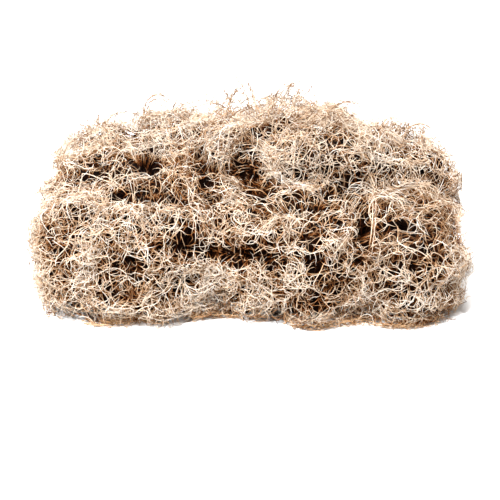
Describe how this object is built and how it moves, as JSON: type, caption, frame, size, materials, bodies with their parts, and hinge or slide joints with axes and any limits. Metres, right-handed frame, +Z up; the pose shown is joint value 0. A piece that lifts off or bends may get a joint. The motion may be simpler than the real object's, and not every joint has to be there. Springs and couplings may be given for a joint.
{
  "type": "spanish moss bunch",
  "caption": "Loose heap of dried Spanish moss: tufts of tangled, curling strands pressed together, lying flat on a surface.",
  "frame": {"origin": "middle of the bunch's footprint, on the surface that it lies on", "axes": "+X across the bunch's width, +Y to its far side, +Z up"},
  "size_m": [0.462, 0.322, 0.216],
  "materials": {
    "moss": "dry, matt, fibrous plant matter"
  },
  "bodies": {
    "root": {"tuft_front_left": "moss", "tuft_middle_left": "moss", "tuft_rear_left": "moss", "tuft_neck": "moss", "tuft_crown": "moss", "tuft_front_centre": "moss", "tuft_front_right": "moss", "tuft_rear_right": "moss", "tuft_rear_centre": "moss"}
  },
  "joints": []
}
